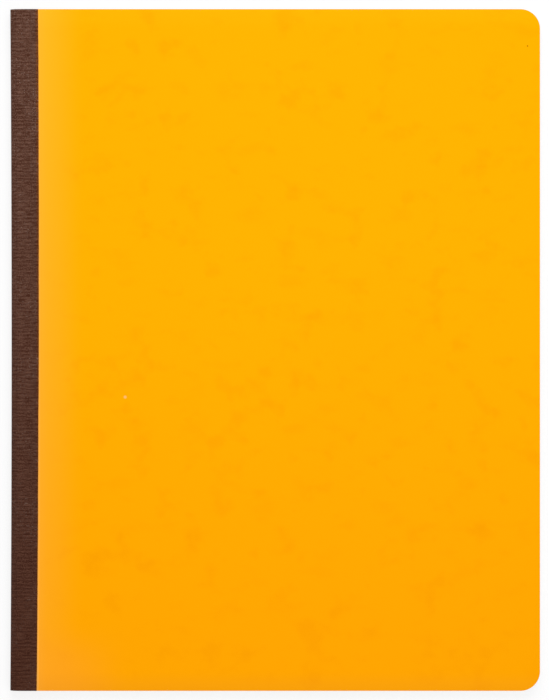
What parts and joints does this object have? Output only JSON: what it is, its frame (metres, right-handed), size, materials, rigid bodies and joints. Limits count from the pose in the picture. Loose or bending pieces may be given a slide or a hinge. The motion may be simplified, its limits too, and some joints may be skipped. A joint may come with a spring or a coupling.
{
  "type": "stapled notebook",
  "caption": "Large saddle-stapled notebook in a glazed card cover with rounded fore-edge corners and a cloth-covered spine.",
  "frame": {"origin": "middle of the shut notebook's footprint, on the surface that it lies on", "axes": "+X from the spine to the fore edge, +Y towards the head, +Z out of the front cover"},
  "size_m": [0.2486, 0.32, 0.0064],
  "materials": {
    "cover_board": "glazed, slightly mottled orange pressboard",
    "spine_cloth": "dark brown woven book cloth with fine cross ribs",
    "paper": "uncoated white writing paper",
    "staple_wire": "drawn galvanised wire"
  },
  "bodies": {
    "rear_leaf_01": {"sheet_01_rear_leaf": "paper", "sheet_01_fold": "paper", "sheet_02_fold": "paper", "sheet_03_fold": "paper", "sheet_04_fold": "paper", "sheet_05_fold": "paper", "sheet_06_fold": "paper", "sheet_07_fold": "paper", "sheet_08_fold": "paper", "sheet_09_fold": "paper", "sheet_10_fold": "paper", "sheet_11_fold": "paper", "sheet_12_fold": "paper", "sheet_13_fold": "paper", "sheet_14_fold": "paper", "sheet_15_fold": "paper", "sheet_16_fold": "paper", "cover_fold": "cover_board", "cloth_fold": "spine_cloth", "staple_head": "staple_wire", "staple_tail": "staple_wire"},
    "front_leaf_01": {"sheet_01_front_leaf": "paper"},
    "rear_leaf_02": {"sheet_02_rear_leaf": "paper"},
    "front_leaf_02": {"sheet_02_front_leaf": "paper"},
    "rear_leaf_03": {"sheet_03_rear_leaf": "paper"},
    "front_leaf_03": {"sheet_03_front_leaf": "paper"},
    "rear_leaf_04": {"sheet_04_rear_leaf": "paper"},
    "front_leaf_04": {"sheet_04_front_leaf": "paper"},
    "rear_leaf_05": {"sheet_05_rear_leaf": "paper"},
    "front_leaf_05": {"sheet_05_front_leaf": "paper"},
    "rear_leaf_06": {"sheet_06_rear_leaf": "paper"},
    "front_leaf_06": {"sheet_06_front_leaf": "paper"},
    "rear_leaf_07": {"sheet_07_rear_leaf": "paper"},
    "front_leaf_07": {"sheet_07_front_leaf": "paper"},
    "rear_leaf_08": {"sheet_08_rear_leaf": "paper"},
    "front_leaf_08": {"sheet_08_front_leaf": "paper"},
    "rear_leaf_09": {"sheet_09_rear_leaf": "paper"},
    "front_leaf_09": {"sheet_09_front_leaf": "paper"},
    "rear_leaf_10": {"sheet_10_rear_leaf": "paper"},
    "front_leaf_10": {"sheet_10_front_leaf": "paper"},
    "rear_leaf_11": {"sheet_11_rear_leaf": "paper"},
    "front_leaf_11": {"sheet_11_front_leaf": "paper"},
    "rear_leaf_12": {"sheet_12_rear_leaf": "paper"},
    "front_leaf_12": {"sheet_12_front_leaf": "paper"},
    "rear_leaf_13": {"sheet_13_rear_leaf": "paper"},
    "front_leaf_13": {"sheet_13_front_leaf": "paper"},
    "rear_leaf_14": {"sheet_14_rear_leaf": "paper"},
    "front_leaf_14": {"sheet_14_front_leaf": "paper"},
    "rear_leaf_15": {"sheet_15_rear_leaf": "paper"},
    "front_leaf_15": {"sheet_15_front_leaf": "paper"},
    "rear_leaf_16": {"sheet_16_rear_leaf": "paper"},
    "front_leaf_16": {"sheet_16_front_leaf": "paper"},
    "front_cover": {"front_cover": "cover_board", "cloth_front": "spine_cloth"},
    "back_cover": {"back_cover": "cover_board", "cloth_back": "spine_cloth"}
  },
  "joints": [
    {"name": "middle_opening", "type": "hinge", "parent": "rear_leaf_01", "child": "front_leaf_01", "pos_m": [-0.12107, 0, 0.00318], "axis": [0, -1, 0], "range_deg": [0, 179.5]},
    {"name": "rear_leaf_02_lift", "type": "hinge", "parent": "rear_leaf_01", "child": "rear_leaf_02", "pos_m": [-0.12107, 0, 0.00318], "axis": [0, -1, 0], "range_deg": [0, 0.15]},
    {"name": "front_leaf_02_turn", "type": "hinge", "parent": "rear_leaf_02", "child": "front_leaf_02", "pos_m": [-0.12107, 0, 0.00318], "axis": [0, -1, 0], "range_deg": [0, 179.3]},
    {"name": "rear_leaf_03_lift", "type": "hinge", "parent": "rear_leaf_01", "child": "rear_leaf_03", "pos_m": [-0.12107, 0, 0.00318], "axis": [0, -1, 0], "range_deg": [0, 0.3]},
    {"name": "front_leaf_03_turn", "type": "hinge", "parent": "rear_leaf_03", "child": "front_leaf_03", "pos_m": [-0.12107, 0, 0.00318], "axis": [0, -1, 0], "range_deg": [0, 179]},
    {"name": "rear_leaf_04_lift", "type": "hinge", "parent": "rear_leaf_01", "child": "rear_leaf_04", "pos_m": [-0.12107, 0, 0.00318], "axis": [0, -1, 0], "range_deg": [0, 0.45]},
    {"name": "front_leaf_04_turn", "type": "hinge", "parent": "rear_leaf_04", "child": "front_leaf_04", "pos_m": [-0.12107, 0, 0.00318], "axis": [0, -1, 0], "range_deg": [0, 178.7]},
    {"name": "rear_leaf_05_lift", "type": "hinge", "parent": "rear_leaf_01", "child": "rear_leaf_05", "pos_m": [-0.12107, 0, 0.00318], "axis": [0, -1, 0], "range_deg": [0, 0.6]},
    {"name": "front_leaf_05_turn", "type": "hinge", "parent": "rear_leaf_05", "child": "front_leaf_05", "pos_m": [-0.12107, 0, 0.00318], "axis": [0, -1, 0], "range_deg": [0, 178.4]},
    {"name": "rear_leaf_06_lift", "type": "hinge", "parent": "rear_leaf_01", "child": "rear_leaf_06", "pos_m": [-0.12107, 0, 0.00318], "axis": [0, -1, 0], "range_deg": [0, 0.75]},
    {"name": "front_leaf_06_turn", "type": "hinge", "parent": "rear_leaf_06", "child": "front_leaf_06", "pos_m": [-0.12107, 0, 0.00318], "axis": [0, -1, 0], "range_deg": [0, 178.1]},
    {"name": "rear_leaf_07_lift", "type": "hinge", "parent": "rear_leaf_01", "child": "rear_leaf_07", "pos_m": [-0.12107, 0, 0.00318], "axis": [0, -1, 0], "range_deg": [0, 0.9]},
    {"name": "front_leaf_07_turn", "type": "hinge", "parent": "rear_leaf_07", "child": "front_leaf_07", "pos_m": [-0.12107, 0, 0.00318], "axis": [0, -1, 0], "range_deg": [0, 177.8]},
    {"name": "rear_leaf_08_lift", "type": "hinge", "parent": "rear_leaf_01", "child": "rear_leaf_08", "pos_m": [-0.12107, 0, 0.00318], "axis": [0, -1, 0], "range_deg": [0, 1.05]},
    {"name": "front_leaf_08_turn", "type": "hinge", "parent": "rear_leaf_08", "child": "front_leaf_08", "pos_m": [-0.12107, 0, 0.00318], "axis": [0, -1, 0], "range_deg": [0, 177.5]},
    {"name": "rear_leaf_09_lift", "type": "hinge", "parent": "rear_leaf_01", "child": "rear_leaf_09", "pos_m": [-0.12107, 0, 0.00318], "axis": [0, -1, 0], "range_deg": [0, 1.2]},
    {"name": "front_leaf_09_turn", "type": "hinge", "parent": "rear_leaf_09", "child": "front_leaf_09", "pos_m": [-0.12107, 0, 0.00318], "axis": [0, -1, 0], "range_deg": [0, 177.2]},
    {"name": "rear_leaf_10_lift", "type": "hinge", "parent": "rear_leaf_01", "child": "rear_leaf_10", "pos_m": [-0.12107, 0, 0.00318], "axis": [0, -1, 0], "range_deg": [0, 1.35]},
    {"name": "front_leaf_10_turn", "type": "hinge", "parent": "rear_leaf_10", "child": "front_leaf_10", "pos_m": [-0.12107, 0, 0.00318], "axis": [0, -1, 0], "range_deg": [0, 176.9]},
    {"name": "rear_leaf_11_lift", "type": "hinge", "parent": "rear_leaf_01", "child": "rear_leaf_11", "pos_m": [-0.12107, 0, 0.00318], "axis": [0, -1, 0], "range_deg": [0, 1.5]},
    {"name": "front_leaf_11_turn", "type": "hinge", "parent": "rear_leaf_11", "child": "front_leaf_11", "pos_m": [-0.12107, 0, 0.00318], "axis": [0, -1, 0], "range_deg": [0, 176.6]},
    {"name": "rear_leaf_12_lift", "type": "hinge", "parent": "rear_leaf_01", "child": "rear_leaf_12", "pos_m": [-0.12107, 0, 0.00318], "axis": [0, -1, 0], "range_deg": [0, 1.65]},
    {"name": "front_leaf_12_turn", "type": "hinge", "parent": "rear_leaf_12", "child": "front_leaf_12", "pos_m": [-0.12107, 0, 0.00318], "axis": [0, -1, 0], "range_deg": [0, 176.3]},
    {"name": "rear_leaf_13_lift", "type": "hinge", "parent": "rear_leaf_01", "child": "rear_leaf_13", "pos_m": [-0.12107, 0, 0.00318], "axis": [0, -1, 0], "range_deg": [0, 1.8]},
    {"name": "front_leaf_13_turn", "type": "hinge", "parent": "rear_leaf_13", "child": "front_leaf_13", "pos_m": [-0.12107, 0, 0.00318], "axis": [0, -1, 0], "range_deg": [0, 176]},
    {"name": "rear_leaf_14_lift", "type": "hinge", "parent": "rear_leaf_01", "child": "rear_leaf_14", "pos_m": [-0.12107, 0, 0.00318], "axis": [0, -1, 0], "range_deg": [0, 1.95]},
    {"name": "front_leaf_14_turn", "type": "hinge", "parent": "rear_leaf_14", "child": "front_leaf_14", "pos_m": [-0.12107, 0, 0.00318], "axis": [0, -1, 0], "range_deg": [0, 175.7]},
    {"name": "rear_leaf_15_lift", "type": "hinge", "parent": "rear_leaf_01", "child": "rear_leaf_15", "pos_m": [-0.12107, 0, 0.00318], "axis": [0, -1, 0], "range_deg": [0, 2.1]},
    {"name": "front_leaf_15_turn", "type": "hinge", "parent": "rear_leaf_15", "child": "front_leaf_15", "pos_m": [-0.12107, 0, 0.00318], "axis": [0, -1, 0], "range_deg": [0, 175.4]},
    {"name": "rear_leaf_16_lift", "type": "hinge", "parent": "rear_leaf_01", "child": "rear_leaf_16", "pos_m": [-0.12107, 0, 0.00318], "axis": [0, -1, 0], "range_deg": [0, 2.25]},
    {"name": "front_leaf_16_turn", "type": "hinge", "parent": "rear_leaf_16", "child": "front_leaf_16", "pos_m": [-0.12107, 0, 0.00318], "axis": [0, -1, 0], "range_deg": [0, 175.1]},
    {"name": "front_cover_hinge", "type": "hinge", "parent": "front_leaf_01", "child": "front_cover", "pos_m": [-0.12062, 0, 0.00647], "axis": [0, -1, 0], "range_deg": [0, 179.5]},
    {"name": "back_cover_hinge", "type": "hinge", "parent": "rear_leaf_01", "child": "back_cover", "pos_m": [-0.12062, 0, -0.0001], "axis": [0, 1, 0], "range_deg": [0, 179.5]}
  ],
  "couplings": [
    {"joint": "rear_leaf_02_lift", "follows": "middle_opening", "ratio": 0.000833},
    {"joint": "front_leaf_02_turn", "follows": "middle_opening", "ratio": 0.99833},
    {"joint": "rear_leaf_03_lift", "follows": "middle_opening", "ratio": 0.001667},
    {"joint": "front_leaf_03_turn", "follows": "middle_opening", "ratio": 0.99667},
    {"joint": "rear_leaf_04_lift", "follows": "middle_opening", "ratio": 0.0025},
    {"joint": "front_leaf_04_turn", "follows": "middle_opening", "ratio": 0.995},
    {"joint": "rear_leaf_05_lift", "follows": "middle_opening", "ratio": 0.003333},
    {"joint": "front_leaf_05_turn", "follows": "middle_opening", "ratio": 0.99333},
    {"joint": "rear_leaf_06_lift", "follows": "middle_opening", "ratio": 0.004167},
    {"joint": "front_leaf_06_turn", "follows": "middle_opening", "ratio": 0.99167},
    {"joint": "rear_leaf_07_lift", "follows": "middle_opening", "ratio": 0.005},
    {"joint": "front_leaf_07_turn", "follows": "middle_opening", "ratio": 0.99},
    {"joint": "rear_leaf_08_lift", "follows": "middle_opening", "ratio": 0.005833},
    {"joint": "front_leaf_08_turn", "follows": "middle_opening", "ratio": 0.98833},
    {"joint": "rear_leaf_09_lift", "follows": "middle_opening", "ratio": 0.006667},
    {"joint": "front_leaf_09_turn", "follows": "middle_opening", "ratio": 0.98667},
    {"joint": "rear_leaf_10_lift", "follows": "middle_opening", "ratio": 0.0075},
    {"joint": "front_leaf_10_turn", "follows": "middle_opening", "ratio": 0.985},
    {"joint": "rear_leaf_11_lift", "follows": "middle_opening", "ratio": 0.008333},
    {"joint": "front_leaf_11_turn", "follows": "middle_opening", "ratio": 0.98333},
    {"joint": "rear_leaf_12_lift", "follows": "middle_opening", "ratio": 0.009167},
    {"joint": "front_leaf_12_turn", "follows": "middle_opening", "ratio": 0.98167},
    {"joint": "rear_leaf_13_lift", "follows": "middle_opening", "ratio": 0.01},
    {"joint": "front_leaf_13_turn", "follows": "middle_opening", "ratio": 0.98},
    {"joint": "rear_leaf_14_lift", "follows": "middle_opening", "ratio": 0.010833},
    {"joint": "front_leaf_14_turn", "follows": "middle_opening", "ratio": 0.97833},
    {"joint": "rear_leaf_15_lift", "follows": "middle_opening", "ratio": 0.011667},
    {"joint": "front_leaf_15_turn", "follows": "middle_opening", "ratio": 0.97667},
    {"joint": "rear_leaf_16_lift", "follows": "middle_opening", "ratio": 0.0125},
    {"joint": "front_leaf_16_turn", "follows": "middle_opening", "ratio": 0.975}
  ]
}
